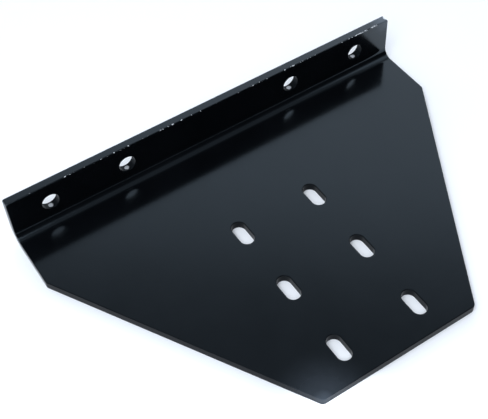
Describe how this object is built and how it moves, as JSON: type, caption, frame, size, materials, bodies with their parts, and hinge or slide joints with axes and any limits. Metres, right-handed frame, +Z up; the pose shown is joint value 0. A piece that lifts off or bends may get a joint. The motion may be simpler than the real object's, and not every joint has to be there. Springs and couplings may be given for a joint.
{
  "type": "plow mount plate",
  "caption": "Flat steel plate with a folded-up bolt flange along its wide edge, adjustment slots in its floor and sides that taper to a narrow front edge.",
  "frame": {"origin": "middle of the footprint, on the underside of the floor", "axes": "+X along the fold, +Y from the narrow front edge towards the flange, +Z up, the way the flange is folded"},
  "size_m": [0.33, 0.233, 0.042],
  "materials": {
    "powder_coat": "semi-gloss black powder coat with a faint orange peel, chipped to bare steel in small spots along its edges"
  },
  "bodies": {
    "root": {"mount_plate": "powder_coat"}
  },
  "joints": []
}
